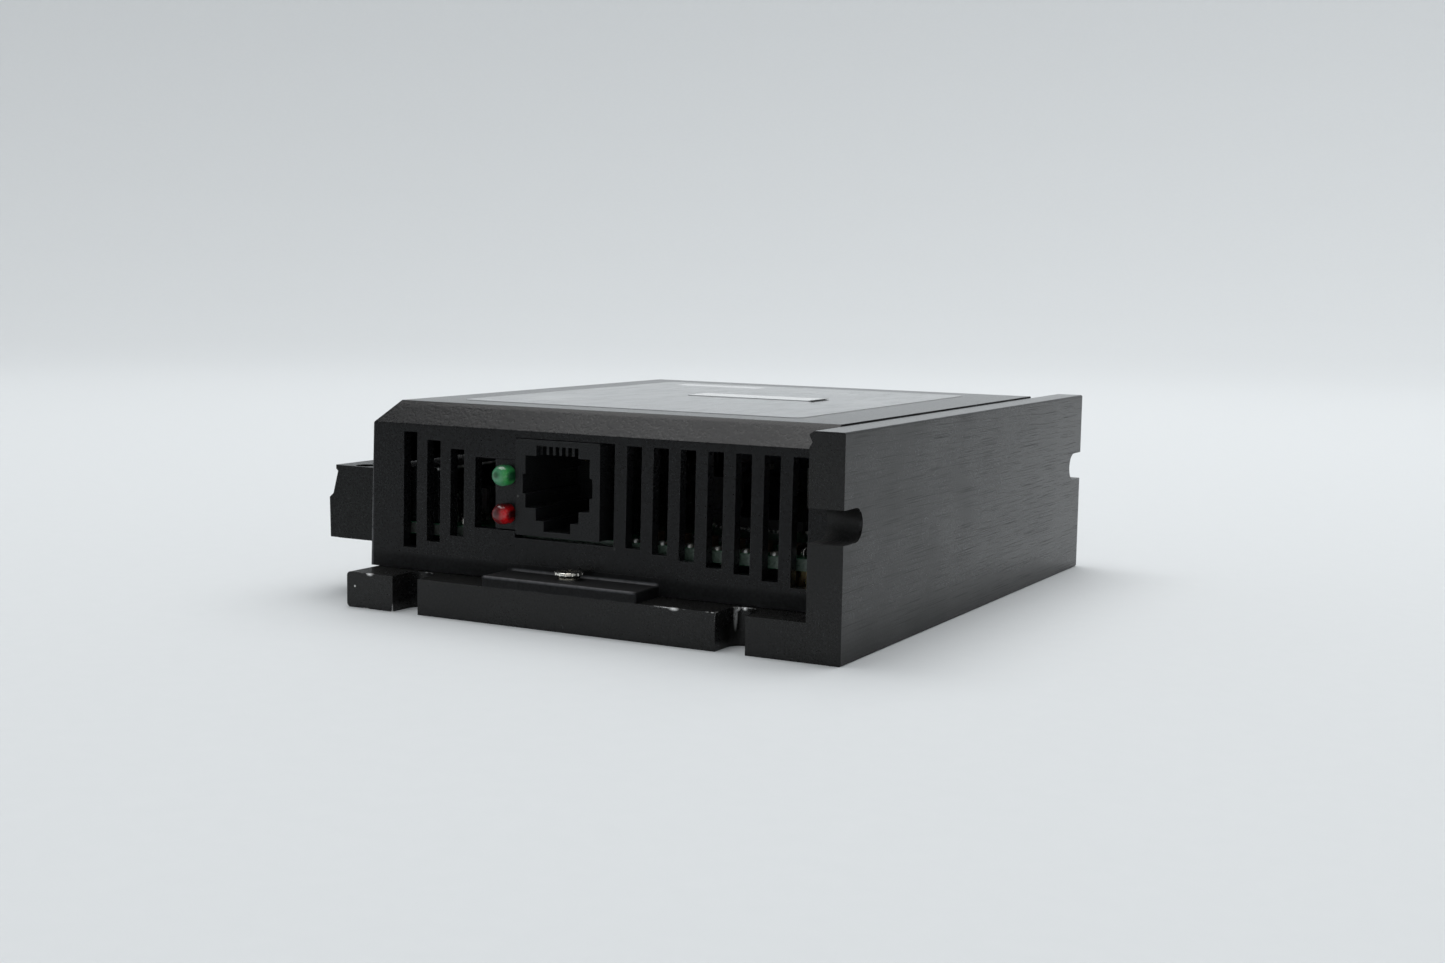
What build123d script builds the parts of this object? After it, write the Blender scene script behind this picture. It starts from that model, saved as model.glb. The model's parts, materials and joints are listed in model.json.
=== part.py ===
from build123d import *
import math
import os

# Compact servo drive: an L-shaped heat plate, a vented plastic cover, one circuit board and its
# connectors. The frame's origin is the centre of the heat plate's bottom face, +X runs to the upright
# wall, +Y to the back and +Z up. Every place below is measured in millimetres from the plate's left
# edge (x), front edge (y) and bottom face (z). A span is a (low, high) pair of such distances.

# Driving dimensions: heat plate
plate_width = 76.2
plate_depth = 95.0
plate_thickness = 5.0
wall_thickness = 4.8
wall_height = 28.6
slot_width = 4.3
slot_depth = 5.4
slot_places = (10.16, 60.96)
wall_slot_depth = 5.7
wall_slot_height = 17.0
groove_height = 27.2
groove_depth = 0.4
groove_rise = 0.8
groove_drop = 0.65

# Driving dimensions: cover
cover_left = -0.65
cover_front = 6.0
cover_back = 86.4
cover_bottom = 5.1
cover_top = 28.75
cover_bevel = 3.1
left_bevel = 2.6
cover_draft = 0.9
cover_wall = 1.6
inner_bevel = cover_bevel - cover_wall * (2 - 2**0.5)
wall_gap = 0.1
vent_width = 2.3
vent_pitch = 4.06
vent_top = 24.6
tab_span = (23.0, 47.2)
tab_thickness = 1.45
tab_rounding = 0.25
tab_root_rounding = 0.3
cover_screw_x = 34.6
cover_screw_inset = 3.7

# Driving dimensions: board, connectors and terminal block
board_bottom = 9.9
board_thickness = 1.6
board_x = (2.2, 71.0)
board_y = (8.1, 84.2)
standoff_places = ((13.5, 11.5), (67.0, 11.5), (15.0, 82.0), (67.0, 82.0))
jack_x = (24.4, 37.9)
jack_height = 13.15
led_height_green = 19.5
led_height_red = 14.2
led_radius = 1.45
led_x = 22.6
pole_count = 7
pole_pitch = 3.81
plug_front = 9.5
plug_bottom = 7.9
transistor_rows = [19.5 + 11.0 * i for i in range(6)]
signal_y = 60.05

# Derived places
left = -plate_width / 2
front = -plate_depth / 2
wall_inside = plate_width - wall_thickness
cover_right = wall_inside - wall_gap
board_top = board_bottom + board_thickness
tab_top = plate_thickness + tab_thickness
jack_middle = sum(jack_x) / 2
plug_length = pole_count * pole_pitch
pole_places = [plug_front + pole_pitch * (i + 0.5) for i in range(pole_count)]

os.makedirs("parts", exist_ok=True)


def save(piece, name):
    """Label a finished piece and write it as its own STEP file."""
    piece.label = name
    export_step(piece, f"parts/{name}.step")


def level(z):
    """Horizontal plane at height z, its local origin over the plate's front left corner."""
    return Plane(origin=(left, front, z), x_dir=(1, 0, 0), z_dir=(0, 0, 1))


def facing_front(y):
    """Upright plane at depth y that faces the front; local x is x and local y is height."""
    return Plane(origin=(left, front + y, 0), x_dir=(1, 0, 0), z_dir=(0, -1, 0))


def facing_wall(x):
    """Upright plane at x that faces the wall; local x is depth and local y is height."""
    return Plane(origin=(left + x, front, 0), x_dir=(0, 1, 0), z_dir=(1, 0, 0))


def around(middle, size):
    """The span of a length centred on a place."""
    return (middle - size / 2, middle + size / 2)


def block(x, y, z, mode=Mode.ADD):
    """Box between three spans."""
    with Locations((left + sum(x) / 2, front + sum(y) / 2, sum(z) / 2)):
        Box(x[1] - x[0], y[1] - y[0], z[1] - z[0], mode=mode)


def post(x, y, z, radius, mode=Mode.ADD):
    """Upright cylinder over the span z."""
    with Locations((left + x, front + y, sum(z) / 2)):
        Cylinder(radius, z[1] - z[0], mode=mode)


def rod_along_x(x, y, z, radius, mode=Mode.ADD):
    """Cylinder over the span x."""
    with Locations((left + sum(x) / 2, front + y, z)):
        Cylinder(radius, x[1] - x[0], rotation=(0, 90, 0), mode=mode)


def rod_along_y(x, y, z, radius, mode=Mode.ADD):
    """Cylinder over the span y."""
    with Locations((left + x, front + sum(y) / 2, z)):
        Cylinder(radius, y[1] - y[0], rotation=(90, 0, 0), mode=mode)


def prism(plane, points, length, mode=Mode.ADD):
    """Straight prism of a closed outline; a negative length goes behind the plane."""
    with BuildSketch(plane) as outline:
        with BuildLine():
            Polyline(*points, close=True)
        make_face()
    extrude(outline.sketch, amount=length, mode=mode)


def pan_screw(x, y, seat, head_radius, head_height, shank_radius, shank_length):
    """Pan head screw with a cross recess; the head's underside is at height seat."""
    top = seat + head_height
    post(x, y, (seat, top), head_radius)
    fillet(edges(Select.LAST).sort_by(Axis.Z)[-1], head_height * 0.6)
    for turn in (25, 115):
        with Locations(Location((left + x, front + y, top), (0, 0, turn))):
            Box(head_radius * 1.15, head_radius * 0.24, head_height, mode=Mode.SUBTRACT)
    post(x, y, (seat - shank_length, seat), shank_radius)


def knurled_screw(x, y, seat, shank_radius, shank_length):
    """Screw with a bowl-shaped head knurled round its brim and a cross recess; its flange rests at height seat."""
    flange_top = seat + 0.22
    brim = seat + 0.78
    top = seat + 1.15
    brim_radius = 1.95
    post(x, y, (seat, flange_top), 1.55)
    with Locations((left + x, front + y, (flange_top + brim) / 2)):
        Cone(1.35, brim_radius, brim - flange_top)
    post(x, y, (brim, top), brim_radius)
    fillet(edges(Select.LAST).sort_by(Axis.Z)[-1], 0.28)
    for i in range(14):
        turn = 2 * math.pi * (i + 0.25) / 14
        groove_x = x + (brim_radius + 0.04) * math.cos(turn)
        groove_y = y + (brim_radius + 0.04) * math.sin(turn)
        post(groove_x, groove_y, (brim - 0.1, top + 0.1), 0.17, Mode.SUBTRACT)
    for turn in (25, 115):
        with Locations(Location((left + x, front + y, top), (0, 0, turn))):
            Box(2.2, 0.42, 1.2, mode=Mode.SUBTRACT)
    post(x, y, (seat - shank_length, seat), shank_radius)


# ---------------------------------------------------------------- heat plate

cover_screw_places = (
    (cover_screw_x, cover_screw_inset),
    (cover_screw_x, plate_depth - cover_screw_inset),
)
transistor_screw_x = 66.3
cover_screw_radius = 0.8
board_screw_radius = 1.25
transistor_screw_radius = 1.5

with BuildPart() as heat_plate:
    with BuildSketch(facing_front(0)):
        with BuildLine():
            Polyline(
                (0, 0),
                (plate_width, 0),
                (plate_width, wall_height),
                (wall_inside + 0.7, wall_height),
                (wall_inside, wall_height - 0.4),
                (wall_inside, groove_height + groove_rise),
                (wall_inside + groove_depth, groove_height),
                (wall_inside, groove_height - groove_drop),
                (wall_inside, plate_thickness),
                (0, plate_thickness),
                close=True,
            )
        make_face()
        fillet(vertices().group_by(Axis.X)[0], radius=0.6)
        fillet(vertices().sort_by(Axis.X)[-2:], radius=0.3)
    extrude(amount=-plate_depth)
    for middle in slot_places:
        width = around(middle, slot_width)
        bore_in = slot_depth - slot_width / 2
        block(width, (-1, bore_in), (-1, plate_thickness + 1), Mode.SUBTRACT)
        block(width, (plate_depth - bore_in, plate_depth + 1), (-1, plate_thickness + 1), Mode.SUBTRACT)
        for y in (bore_in, plate_depth - bore_in):
            post(middle, y, (-1, plate_thickness + 1), slot_width / 2, Mode.SUBTRACT)
    through_wall = (wall_inside - 1, plate_width + 1)
    wall_bore_in = wall_slot_depth - slot_width / 2
    notch = around(wall_slot_height, slot_width)
    block(through_wall, (-1, wall_bore_in), notch, Mode.SUBTRACT)
    block(through_wall, (plate_depth - wall_bore_in, plate_depth + 1), notch, Mode.SUBTRACT)
    for y in (wall_bore_in, plate_depth - wall_bore_in):
        rod_along_x(through_wall, y, wall_slot_height, slot_width / 2, Mode.SUBTRACT)
    for x, y in cover_screw_places:
        post(x, y, (1.0, plate_thickness), cover_screw_radius, Mode.SUBTRACT)
    for x, y in standoff_places:
        post(x, y, (1.0, plate_thickness), board_screw_radius, Mode.SUBTRACT)
    for y in transistor_rows:
        post(transistor_screw_x, y, (1.0, plate_thickness), transistor_screw_radius, Mode.SUBTRACT)
save(heat_plate.part, "heat_plate")

# ---------------------------------------------------------------- cover


def cover_form(inset, bottom, top, bevel):
    """Tapered box with bevelled top edges on its front, left and back, cut square at the wall."""
    beyond_wall = 10
    with BuildPart() as form:
        with BuildSketch(level(bottom)):
            low = (cover_left + inset, cover_front + inset)
            high = (cover_right + beyond_wall, cover_back - inset)
            with Locations(((low[0] + high[0]) / 2, (low[1] + high[1]) / 2)):
                Rectangle(high[0] - low[0], high[1] - low[1])
        extrude(amount=top - bottom, taper=cover_draft)
        split(bisect_by=Plane.YZ.offset(left + cover_right), keep=Keep.BOTTOM)
        rim = faces().sort_by(Axis.Z)[-1].edges().sort_by(Axis.X)
        chamfer(rim[1:-1], length=bevel)
        # The left bevel is steeper than the other two
        foot = cover_left + inset + math.tan(math.radians(cover_draft)) * (top - bottom)
        slope = [(foot - 1, top - bevel * (1 + 1 / left_bevel)), (foot + left_bevel, top), (foot - 1, top)]
        prism(facing_front(cover_front), slope, -(cover_back - cover_front), Mode.SUBTRACT)
        if inset == 0:
            corners = edges().filter_by(lambda edge: edge.center().Z > cover_bottom + 1)
            fillet(corners.filter_by(lambda edge: edge.center().X < left + cover_right - 1), radius=0.3)
    return form.part


def cover_tab(reach):
    """Front screw tab with rounded edges and a small round at its root, reach long."""
    with BuildPart() as tab:
        with BuildSketch(facing_wall(tab_span[0])):
            with BuildLine():
                Polyline(
                    (0, plate_thickness),
                    (0, tab_top),
                    (reach, tab_top),
                    (reach, tab_top + 1),
                    (reach + 0.8, tab_top + 1),
                    (reach + 0.8, plate_thickness),
                    close=True,
                )
            make_face()
            fillet(vertices().group_by(Axis.X)[1].sort_by(Axis.Y)[0], radius=tab_root_rounding)
            fillet(vertices().group_by(Axis.X)[0].sort_by(Axis.Y)[-1], radius=tab_rounding)
        extrude(amount=tab_span[1] - tab_span[0])
        fillet(edges().filter_by(Axis.Z).group_by(Axis.Y)[0], radius=tab_rounding)
    return tab.part


header_y = around(plug_front + plug_length / 2, plug_length + 1.5)
signal_flange_y = around(signal_y, 39.1)
jack_cutout_x = (jack_x[0] - 0.2, 40.05)
left_vents = [(5.2 + vent_pitch * i, 8.2 + 1.1 * i, vent_top - 1.0 * i) for i in range(3)]
right_vents = [(41.9 + vent_pitch * i, 11.0 - 0.5 * i, vent_top) for i in range(7)]
back_vents = [(37.7 + vent_pitch * i, 9.0, vent_top) for i in range(8)]
lip = (25.3, cover_top - cover_wall)
front_tab = cover_tab(cover_front)
back_tab = mirror(cover_tab(plate_depth - cover_back), about=Plane.XZ)

with BuildPart() as cover:
    add(cover_form(0, cover_bottom, cover_top, cover_bevel))
    add(cover_form(cover_wall, cover_bottom - 1, cover_top - cover_wall, inner_bevel), mode=Mode.SUBTRACT)
    # Turned-down lip beside the wall, with a bead that snaps into the wall's groove
    block((cover_right - 1.2, cover_right), (cover_front + 1, cover_back - 1), lip)
    bead = [(cover_right, groove_height + 0.35), (cover_right + 0.3, groove_height)]
    bead.append((cover_right, groove_height - 0.35))
    prism(facing_front(cover_front + 3), bead, -(cover_back - cover_front - 6))
    # Vents, the window for the lights and the jack's cut-out in the front
    through_front = (cover_front - 1, cover_front + 2.1)
    for x, low, high in left_vents + right_vents:
        block((x, x + vent_width), through_front, (low, high), Mode.SUBTRACT)
    block((17.5, jack_x[0]), through_front, (11.9, 21.7), Mode.SUBTRACT)
    block(jack_cutout_x, through_front, (board_top - 0.5, board_top + jack_height + 0.1), Mode.SUBTRACT)
    # Vents in the back
    through_back = (cover_back - 2.1, cover_back + 1)
    for x, low, high in back_vents:
        block((x, x + vent_width), through_back, (low, high), Mode.SUBTRACT)
    # Connector openings in the left side
    through_left = (-1, 2.3)
    sill = board_top - 0.1
    block(through_left, (header_y[0] - 0.12, header_y[1] + 0.12), (sill, 19.55), Mode.SUBTRACT)
    block(through_left, (signal_flange_y[0] - 0.2, signal_flange_y[1] + 0.2), (sill, 24.3), Mode.SUBTRACT)
    # Shallow pocket that the terminal plug's inner face sits in
    plug_y = (plug_front - 0.12, plug_front + plug_length + 0.12)
    block((-1, -0.05), plug_y, (plug_bottom - 0.12, 19.55), Mode.SUBTRACT)
    # Screw tabs on the front and the back, each cleared around its screw
    add(front_tab)
    add(back_tab)
    for x, y in cover_screw_places:
        post(x, y, (plate_thickness, tab_top), 1.1, Mode.SUBTRACT)
        post(x, y, (tab_top, tab_top + 2.0), 2.2, Mode.SUBTRACT)
save(cover.part, "cover")

with BuildPart() as top_label:
    label_x = (8.5, 62.5)
    label_y = (15.5, 76.5)
    label_thickness = 0.05
    block(label_x, label_y, (cover_top, cover_top + label_thickness))
    fillet(edges().filter_by(Axis.Z), radius=1.5)
save(top_label.part, "top_label")

# Glossy sticker whose right end has come loose and curls up
with BuildPart() as sticker:
    base = cover_top + label_thickness
    film = 0.08
    lift = 0.14
    sticker_x = (28.6, 49.8)
    curl_x = 48.8
    with BuildSketch(facing_front(46.4)):
        with BuildLine():
            Line((sticker_x[0], base), (curl_x, base))
            Spline((curl_x, base), (sticker_x[1], base + lift), tangents=[(1, 0), (1, 0.35)])
            Line((sticker_x[1], base + lift), (sticker_x[1] - 0.03, base + lift + film))
            Spline((sticker_x[1] - 0.03, base + lift + film), (curl_x, base + film), tangents=[(-1, -0.35), (-1, 0)])
            Line((curl_x, base + film), (sticker_x[0], base + film))
            Line((sticker_x[0], base + film), (sticker_x[0], base))
        make_face()
    extrude(amount=-6.0)
save(sticker.part, "sticker")

with BuildPart() as cover_screws:
    for x, y in cover_screw_places:
        knurled_screw(x, y, tab_top, cover_screw_radius, 4.7)
save(cover_screws.part, "cover_screws")

# ---------------------------------------------------------------- circuit board and its fasteners

lead_row_x = 49.6
lead_offsets = (-2.54, 0, 2.54)
header_tail_x = 10.2

with BuildPart() as circuit_board:
    block(board_x, board_y, (board_bottom, board_top))
    for x, y in standoff_places:
        post(x, y, (board_bottom, board_top), 1.45, Mode.SUBTRACT)
    for y in transistor_rows:
        for offset_y in lead_offsets:
            post(lead_row_x, y + offset_y, (board_bottom, board_top), 0.6, Mode.SUBTRACT)
    for y in pole_places:
        post(header_tail_x, y, (board_bottom, board_top), 0.65, Mode.SUBTRACT)
save(circuit_board.part, "circuit_board")

with BuildPart() as board_standoffs:
    for x, y in standoff_places:
        post(x, y, (plate_thickness, board_bottom), 2.2)
        post(x, y, (plate_thickness, board_bottom), 1.4, Mode.SUBTRACT)
save(board_standoffs.part, "board_standoffs")

with BuildPart() as board_screws:
    for x, y in standoff_places:
        pan_screw(x, y, board_top, 2.2, 1.6, board_screw_radius, 10.0)
save(board_screws.part, "board_screws")

# ---------------------------------------------------------------- power transistors under the board

pad_thickness = 0.3
tab_base = plate_thickness + pad_thickness
metal_tab = (tab_base, tab_base + 1.3)
transistor_width = 10.2
body_x = (53.8, 63.0)
metal_x = (54.5, 69.6)

with BuildPart() as thermal_pad:
    block((52.5, 70.4), (transistor_rows[0] - 4.9, transistor_rows[-1] + 4.9), (plate_thickness, tab_base))
    for y in transistor_rows:
        post(transistor_screw_x, y, (plate_thickness, tab_base), 1.85, Mode.SUBTRACT)
save(thermal_pad.part, "thermal_pad")

with BuildPart() as transistor_tabs:
    for y in transistor_rows:
        block(metal_x, around(y, transistor_width - 0.4), metal_tab)
        post(transistor_screw_x, y, metal_tab, 1.85, Mode.SUBTRACT)
save(transistor_tabs.part, "transistor_tabs")

with BuildPart() as transistor_bodies:
    for y in transistor_rows:
        block(body_x, around(y, transistor_width), (tab_base, board_bottom - 0.1))
        block(metal_x, around(y, transistor_width - 0.4), metal_tab, Mode.SUBTRACT)
save(transistor_bodies.part, "transistor_bodies")

# Each lead leaves the body level and turns up through the board
with BuildPart() as transistor_leads:
    lead_z = tab_base + 2.6
    for y in transistor_rows:
        for offset_y in lead_offsets:
            across = around(y + offset_y, 0.7)
            block((lead_row_x - 0.25, body_x[0]), across, (lead_z, lead_z + 0.5))
            block((lead_row_x - 0.25, lead_row_x + 0.25), across, (lead_z + 0.5, board_top))
save(transistor_leads.part, "transistor_leads")

with BuildPart() as insulating_washers:
    for y in transistor_rows:
        post(transistor_screw_x, y, (metal_tab[1], metal_tab[1] + 0.6), 3.0)
        post(transistor_screw_x, y, metal_tab, 1.85)
        post(transistor_screw_x, y, (metal_tab[0], metal_tab[1] + 0.6), 1.55, Mode.SUBTRACT)
save(insulating_washers.part, "insulating_washers")

with BuildPart() as transistor_screws:
    for y in transistor_rows:
        pan_screw(transistor_screw_x, y, metal_tab[1] + 0.6, 2.75, 1.9, transistor_screw_radius, 6.0)
save(transistor_screws.part, "transistor_screws")

# ---------------------------------------------------------------- modular jack

jack_z = (board_top, board_top + jack_height)
jack_back = 24.0
cavity_back = 20.0
socket_floor = 15.3
contact_pitch = 1.02
# Half outline of the socket, from the latch floor at the bottom to the contact comb at the top
socket_half = [
    (2.15, 12.2),
    (2.15, 13.6),
    (3.45, 13.6),
    (3.45, socket_floor),
    (5.15, socket_floor),
    (5.15, 17.2),
    (5.6, 17.2),
    (5.6, 19.9),
    (5.15, 19.9),
    (5.15, 22.45),
    (3.37, 22.45),
    (3.37, 23.85),
]

with BuildPart() as jack_housing:
    block(jack_x, (cover_front, jack_back), jack_z)
    fillet(edges().filter_by(Axis.Y), radius=0.25)
    right_side = [(jack_middle + half, z) for half, z in socket_half]
    left_side = [(jack_middle - half, z) for half, z in reversed(socket_half)]
    prism(facing_front(cover_front), right_side + left_side, -(cavity_back - cover_front), Mode.SUBTRACT)
    # Comb that parts the contacts
    for i in range(7):
        block(around(jack_middle + contact_pitch * (i - 3), 0.4), (6.8, 8.6), (22.6, 23.9))
save(jack_housing.part, "jack_housing")

with BuildPart() as jack_contacts:
    for i in range(6):
        middle = jack_middle + contact_pitch * (i - 2.5)
        wire = [(7.4, 23.2), (7.9, 23.75), (cavity_back, 20.65), (cavity_back, 20.2)]
        prism(facing_wall(middle - 0.23), wire, 0.46)
save(jack_contacts.part, "jack_contacts")

# ---------------------------------------------------------------- status lights

holder_face = cover_front + 0.6
led_back = 10.2
light_heights = (led_height_green, led_height_red)

with BuildPart() as led_holder:
    block((20.7, 24.3), (holder_face, led_back), (12.0, 21.6))
    block((20.7, 24.3), (cover_front + 2.3, led_back), (board_top, 12.0))
    for z in light_heights:
        rod_along_y(led_x, (holder_face, led_back), z, led_radius, Mode.SUBTRACT)
save(led_holder.part, "led_holder")

for name, height in (("green_led", led_height_green), ("red_led", led_height_red)):
    with BuildPart() as light:
        dome_centre = cover_front - 0.5
        rod_along_y(led_x, (dome_centre, led_back), height, led_radius)
        with Locations((left + led_x, front + dome_centre, height)):
            Sphere(led_radius)
    save(light.part, name)

with BuildPart() as led_leads:
    for height, drop in ((led_height_green, 13.2), (led_height_red, 12.0)):
        for x in (led_x - 1.0, led_x + 0.55):
            block((x, x + 0.45), (led_back, drop), (height - 0.22, height + 0.23))
            block((x, x + 0.45), (drop - 0.45, drop), (board_top, height - 0.22))
save(led_leads.part, "led_leads")

# ---------------------------------------------------------------- terminal header and plug

header_z = (board_top, 19.4)
header_back = 9.4
neck_y = around(plug_front + plug_length / 2, plug_length - 0.5)
neck_x = (-0.15, 6.6)
neck_z = (12.5, 18.3)
pin_middle = 15.2
pin_size = 0.8

with BuildPart() as terminal_header:
    block((0, header_back), header_y, header_z)
    block((-1, 7.9), (neck_y[0] - 0.2, neck_y[1] + 0.2), (neck_z[0] - 0.2, neck_z[1] + 0.2), Mode.SUBTRACT)
    # Coding grooves in the roof, one over each pole
    for y in pole_places:
        block((-1, 5.5), around(y, 1.2), (neck_z[1], neck_z[1] + 0.6), Mode.SUBTRACT)
        block((7, header_back + 1), around(y, pin_size), around(pin_middle, pin_size), Mode.SUBTRACT)
save(terminal_header.part, "terminal_header")

with BuildPart() as header_pins:
    for y in pole_places:
        across = around(y, pin_size)
        block((0.8, header_tail_x + pin_size / 2), across, around(pin_middle, pin_size))
        block(around(header_tail_x, pin_size), across, (8.4, pin_middle))
save(header_pins.part, "header_pins")

screw_x = -5.6
pocket_x = (-8.3, -2.9)
pocket_z = (8.4, 15.7)
ledge_top = 16.3
tongue_z = (11.9, 12.5)
riser_x = (-2.4, -1.8)
socket_end = 6.0
socket_z = around(pin_middle, 1.6)
plug_top = 18.65
head_recess_radius = 1.6
# Section of the plug: wire entries low on the left, slanted above them, a lip along the top edge
plug_section = [
    (-0.15, plug_bottom),
    (-11.05, plug_bottom),
    (-11.2, 13.8),
    (-10.5, 14.4),
    (-9.6, 17.75),
    (-9.95, 18.05),
    (-9.95, plug_top),
    (-0.15, plug_top),
]

with BuildPart() as plug_housing:
    prism(facing_front(plug_front), plug_section, -plug_length)
    block(neck_x, neck_y, neck_z)
    for y in pole_places:
        # Wire entry with a wider mouth, clamp pocket, and the screw's recess and shank hole
        block((-12, pocket_x[0]), around(y, 2.4), (9.2, 11.9), Mode.SUBTRACT)
        block((-12, -10.3), around(y, 3.0), (8.8, 12.6), Mode.SUBTRACT)
        block(pocket_x, around(y, 3.3), pocket_z, Mode.SUBTRACT)
        post(screw_x, y, (pocket_z[1], ledge_top), 1.05, Mode.SUBTRACT)
        post(screw_x, y, (ledge_top, plug_top), head_recess_radius, Mode.SUBTRACT)
        # Channel of the contact, and the hole where the header's pin comes in
        block((pocket_x[1], riser_x[1]), around(y, 2.2), (tongue_z[0], socket_z[1]), Mode.SUBTRACT)
        block((riser_x[1], socket_end), around(y, 2.2), socket_z, Mode.SUBTRACT)
        block((socket_end, neck_x[1]), around(y, 1.3), around(pin_middle, 1.3), Mode.SUBTRACT)
    # Both ends are stepped back a little beside the slanted face
    for y in (plug_front, plug_front + plug_length):
        block((-12, -9.3), around(y, 0.4), (7, plug_top + 1), Mode.SUBTRACT)
    for i in range(1, pole_count):
        # Grooves that part the poles on the slanted face
        groove = around(plug_front + pole_pitch * i, 0.4)
        block((-12, -9.9), groove, (13.2, 17.0), Mode.SUBTRACT)
save(plug_housing.part, "plug_housing")

with BuildPart() as plug_contacts:
    for y in pole_places:
        block((pocket_x[0] + 0.2, riser_x[0]), around(y, 1.6), tongue_z)
        block(riser_x, around(y, 2.2), (tongue_z[0], socket_z[1]))
        block((riser_x[1], socket_end), around(y, 2.2), socket_z)
        block((0.4, socket_end), around(y, 1.0), around(pin_middle, 1.0), Mode.SUBTRACT)
save(plug_contacts.part, "plug_contacts")

clamp_z = (8.6, 13.9)
window_z = (9.3, 12.6)
thread_radius = 1.0
for number, y in enumerate(pole_places, start=1):
    with BuildPart() as clamp_screw:
        post(screw_x, y, (ledge_top + 0.1, ledge_top + 1.6), 1.5)
        fillet(edges(Select.LAST).sort_by(Axis.Z)[-1], 0.2)
        post(screw_x, y, (window_z[1], ledge_top + 0.1), thread_radius)
        with Locations((left + screw_x, front + y, ledge_top + 1.6)):
            Box(0.5, 4, 1.4, mode=Mode.SUBTRACT)
    save(clamp_screw.part, f"clamp_screw_{number}")
    with BuildPart() as wire_clamp:
        block((-7.9, -3.3), around(y, 2.9), clamp_z)
        block((-8, -3), around(y, 2.1), window_z, Mode.SUBTRACT)
        post(screw_x, y, (window_z[1], clamp_z[1]), thread_radius + 0.05, Mode.SUBTRACT)
    save(wire_clamp.part, f"wire_clamp_{number}")

# ---------------------------------------------------------------- signal connector on the left side

flange_x = (0.2, 1.0)
flange_z = (board_top + 0.05, board_top + 12.55)
signal_z = sum(flange_z) / 2
shell_tip = -5.6
jack_screw_spacing = 33.3


def d_outline(width, height):
    """Corner points of a D-shaped outline, wide at the top, about the connector's centre."""
    slope = 0.09 * height
    return [
        (signal_y - width / 2, signal_z + height / 2),
        (signal_y + width / 2, signal_z + height / 2),
        (signal_y + width / 2 - 2 * slope, signal_z - height / 2),
        (signal_y - width / 2 + 2 * slope, signal_z - height / 2),
    ]


def d_tube(x, width, height, corner, mode=Mode.ADD):
    """D-shaped prism with rounded corners over the span x."""
    with BuildSketch(facing_wall(x[0])) as outline:
        with BuildLine():
            Polyline(*d_outline(width, height), close=True)
        make_face()
        fillet(outline.vertices(), radius=corner)
    extrude(outline.sketch, amount=x[1] - x[0], mode=mode)


contact_rows = ((3.0, 9, 0.0), (0.7, 9, 1.14), (-1.6, 8, 0.0))
signal_contact_places = [
    (signal_y + 2.29 * (i - (count - 1) / 2) + shift / 2, signal_z + rise)
    for rise, count, shift in contact_rows
    for i in range(count)
]
jack_screw_places = [signal_y + side * jack_screw_spacing / 2 for side in (-1, 1)]

with BuildPart() as signal_shell:
    block(flange_x, signal_flange_y, flange_z)
    d_tube((shell_tip, flange_x[0]), 25.0, 8.3, 2.0)
    d_tube((shell_tip - 1, flange_x[1] + 1), 24.2, 7.5, 1.6, Mode.SUBTRACT)
    for y in jack_screw_places:
        rod_along_x(flange_x, y, signal_z, 1.55, Mode.SUBTRACT)
save(signal_shell.part, "signal_shell")

with BuildPart() as signal_insert:
    d_tube((shell_tip + 0.3, flange_x[1]), 24.2, 7.5, 1.6)
    block((flange_x[1], 11.0), around(signal_y, 26.0), (board_top, signal_z + 5.5))
    for y, z in signal_contact_places:
        rod_along_x((shell_tip, -0.8), y, z, 0.6, Mode.SUBTRACT)
save(signal_insert.part, "signal_insert")

with BuildPart() as signal_contacts:
    for y, z in signal_contact_places:
        rod_along_x((shell_tip + 0.6, -0.8), y, z, 0.6)
        rod_along_x((shell_tip + 0.5, -1.6), y, z, 0.4, Mode.SUBTRACT)
save(signal_contacts.part, "signal_contacts")

with BuildPart() as signal_jack_screws:
    for y in jack_screw_places:
        with BuildSketch(facing_wall(-4.8)) as hexagon:
            with Locations((y, signal_z)):
                RegularPolygon(radius=2.38, side_count=6, major_radius=False)
        extrude(hexagon.sketch, amount=flange_x[0] + 4.8)
        rod_along_x((-5, -0.6), y, signal_z, 1.15, Mode.SUBTRACT)
        rod_along_x((flange_x[0], 4.0), y, signal_z, 1.42)
save(signal_jack_screws.part, "signal_jack_screws")

# ---------------------------------------------------------------- parts on top of the board

capacitor_places = (24.0, 37.0, 50.0)
capacitor_radius = 6.2
capacitor_y = (54.0, 79.0)
capacitor_axis = board_top + capacitor_radius + 0.1

with BuildPart() as bus_capacitors:
    for x in capacitor_places:
        rod_along_y(x, capacitor_y, capacitor_axis, capacitor_radius)
        fillet(edges(Select.LAST).filter_by(GeomType.CIRCLE), 0.5)
save(bus_capacitors.part, "bus_capacitors")

with BuildPart() as capacitor_leads:
    for x in capacitor_places:
        for offset_x in (-2.5, 2.5):
            across = around(x + offset_x, 0.8)
            block(across, (capacitor_y[0] - 3.0, capacitor_y[0]), around(capacitor_axis, 0.8))
            block(across, (capacitor_y[0] - 3.0, capacitor_y[0] - 2.2), (board_top, capacitor_axis))
save(capacitor_leads.part, "capacitor_leads")

controller_x = (43.0, 57.0)
controller_y = (29.0, 43.0)
chip_z = (board_top + 0.15, board_top + 1.6)

with BuildPart() as motor_controller:
    block(controller_x, controller_y, chip_z)
    post(controller_x[0] + 1.6, controller_y[0] + 1.6, (chip_z[1] - 0.15, chip_z[1]), 0.6, Mode.SUBTRACT)
save(motor_controller.part, "motor_controller")

memory_x = (62.5, 69.5)
memory_y = (24.0, 37.0)
with BuildPart() as memory_chip:
    block(memory_x, memory_y, chip_z)
save(memory_chip.part, "memory_chip")

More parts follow.
